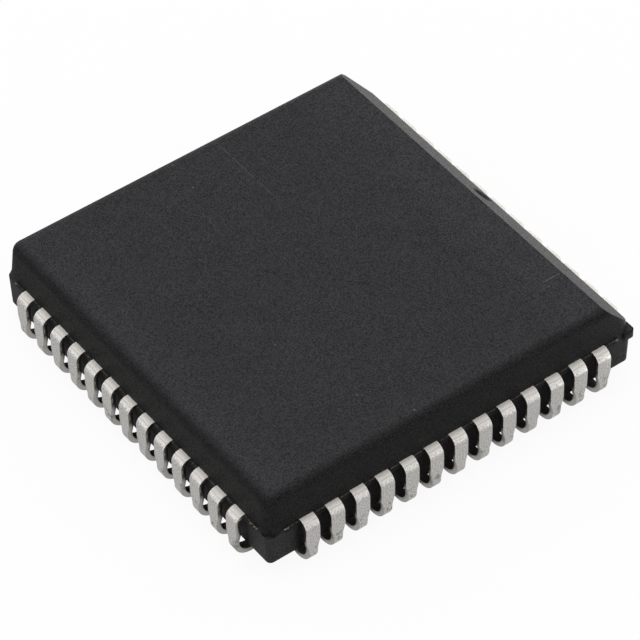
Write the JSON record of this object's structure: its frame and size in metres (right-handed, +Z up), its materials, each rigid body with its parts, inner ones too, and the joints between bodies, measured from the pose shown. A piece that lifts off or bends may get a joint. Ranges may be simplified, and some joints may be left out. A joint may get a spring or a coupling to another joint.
{
  "type": "plastic leaded chip carrier",
  "caption": "Square dark plastic chip carrier with tin-plated J leads along all four sides, a bevelled top edge with a dimple and one chamfered corner for orientation.",
  "frame": {"origin": "centre of the seating plane under the feet of the leads", "axes": "+Z up through the top face, +Y towards the bevelled edge over lead 1"},
  "size_m": [0.02, 0.02, 0.0043],
  "materials": {
    "resin": "fine spark-eroded moulding grain, dark grey",
    "tin_plate": "satin tin plating with faint forming marks",
    "lead_frame": "bare rolled copper alloy",
    "adhesive": "silver-filled die adhesive",
    "silicon": "polished silicon",
    "gold": "bright gold wire"
  },
  "bodies": {
    "root": {"body": "resin", "die_paddle": "lead_frame", "die_attach": "adhesive", "die": "silicon", "bond_wires": "gold", "lead_01": "tin_plate", "lead_02": "tin_plate", "lead_03": "tin_plate", "lead_04": "tin_plate", "lead_05": "tin_plate", "lead_06": "tin_plate", "lead_07": "tin_plate", "lead_08": "tin_plate", "lead_09": "tin_plate", "lead_10": "tin_plate", "lead_11": "tin_plate", "lead_12": "tin_plate", "lead_13": "tin_plate", "lead_14": "tin_plate", "lead_15": "tin_plate", "lead_16": "tin_plate", "lead_17": "tin_plate", "lead_18": "tin_plate", "lead_19": "tin_plate", "lead_20": "tin_plate", "lead_21": "tin_plate", "lead_22": "tin_plate", "lead_23": "tin_plate", "lead_24": "tin_plate", "lead_25": "tin_plate", "lead_26": "tin_plate", "lead_27": "tin_plate", "lead_28": "tin_plate", "lead_29": "tin_plate", "lead_30": "tin_plate", "lead_31": "tin_plate", "lead_32": "tin_plate", "lead_33": "tin_plate", "lead_34": "tin_plate", "lead_35": "tin_plate", "lead_36": "tin_plate", "lead_37": "tin_plate", "lead_38": "tin_plate", "lead_39": "tin_plate", "lead_40": "tin_plate", "lead_41": "tin_plate", "lead_42": "tin_plate", "lead_43": "tin_plate", "lead_44": "tin_plate", "lead_45": "tin_plate", "lead_46": "tin_plate", "lead_47": "tin_plate", "lead_48": "tin_plate", "lead_49": "tin_plate", "lead_50": "tin_plate", "lead_51": "tin_plate", "lead_52": "tin_plate"}
  },
  "joints": []
}
